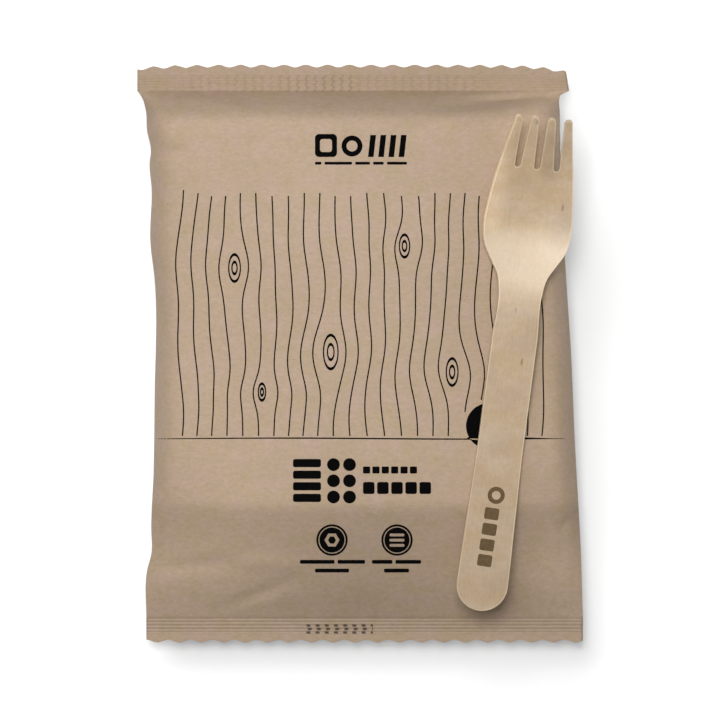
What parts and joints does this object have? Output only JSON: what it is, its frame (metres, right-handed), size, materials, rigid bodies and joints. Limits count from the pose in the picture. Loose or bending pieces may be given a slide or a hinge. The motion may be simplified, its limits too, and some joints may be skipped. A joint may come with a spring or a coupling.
{
  "type": "pack of wooden forks",
  "caption": "Sealed kraft paper flow pack with crimped zigzag ends, filled with disposable wooden forks, and a loose birch fork lying on its front.",
  "frame": {"origin": "centre of the bounding box, on the ground under the pack's flat back", "axes": "+Y along the pack towards its top end seal, +X to the right seen from the front, +Z out of the printed front"},
  "size_m": [0.1448, 0.188, 0.035],
  "materials": {
    "kraft_paper": "matt brown kraft paper with a faint satin sheen, printed in black",
    "birch_veneer": "smooth unvarnished birch veneer"
  },
  "bodies": {
    "root": {"paper_pack": "kraft_paper", "fork": "birch_veneer"}
  },
  "joints": []
}
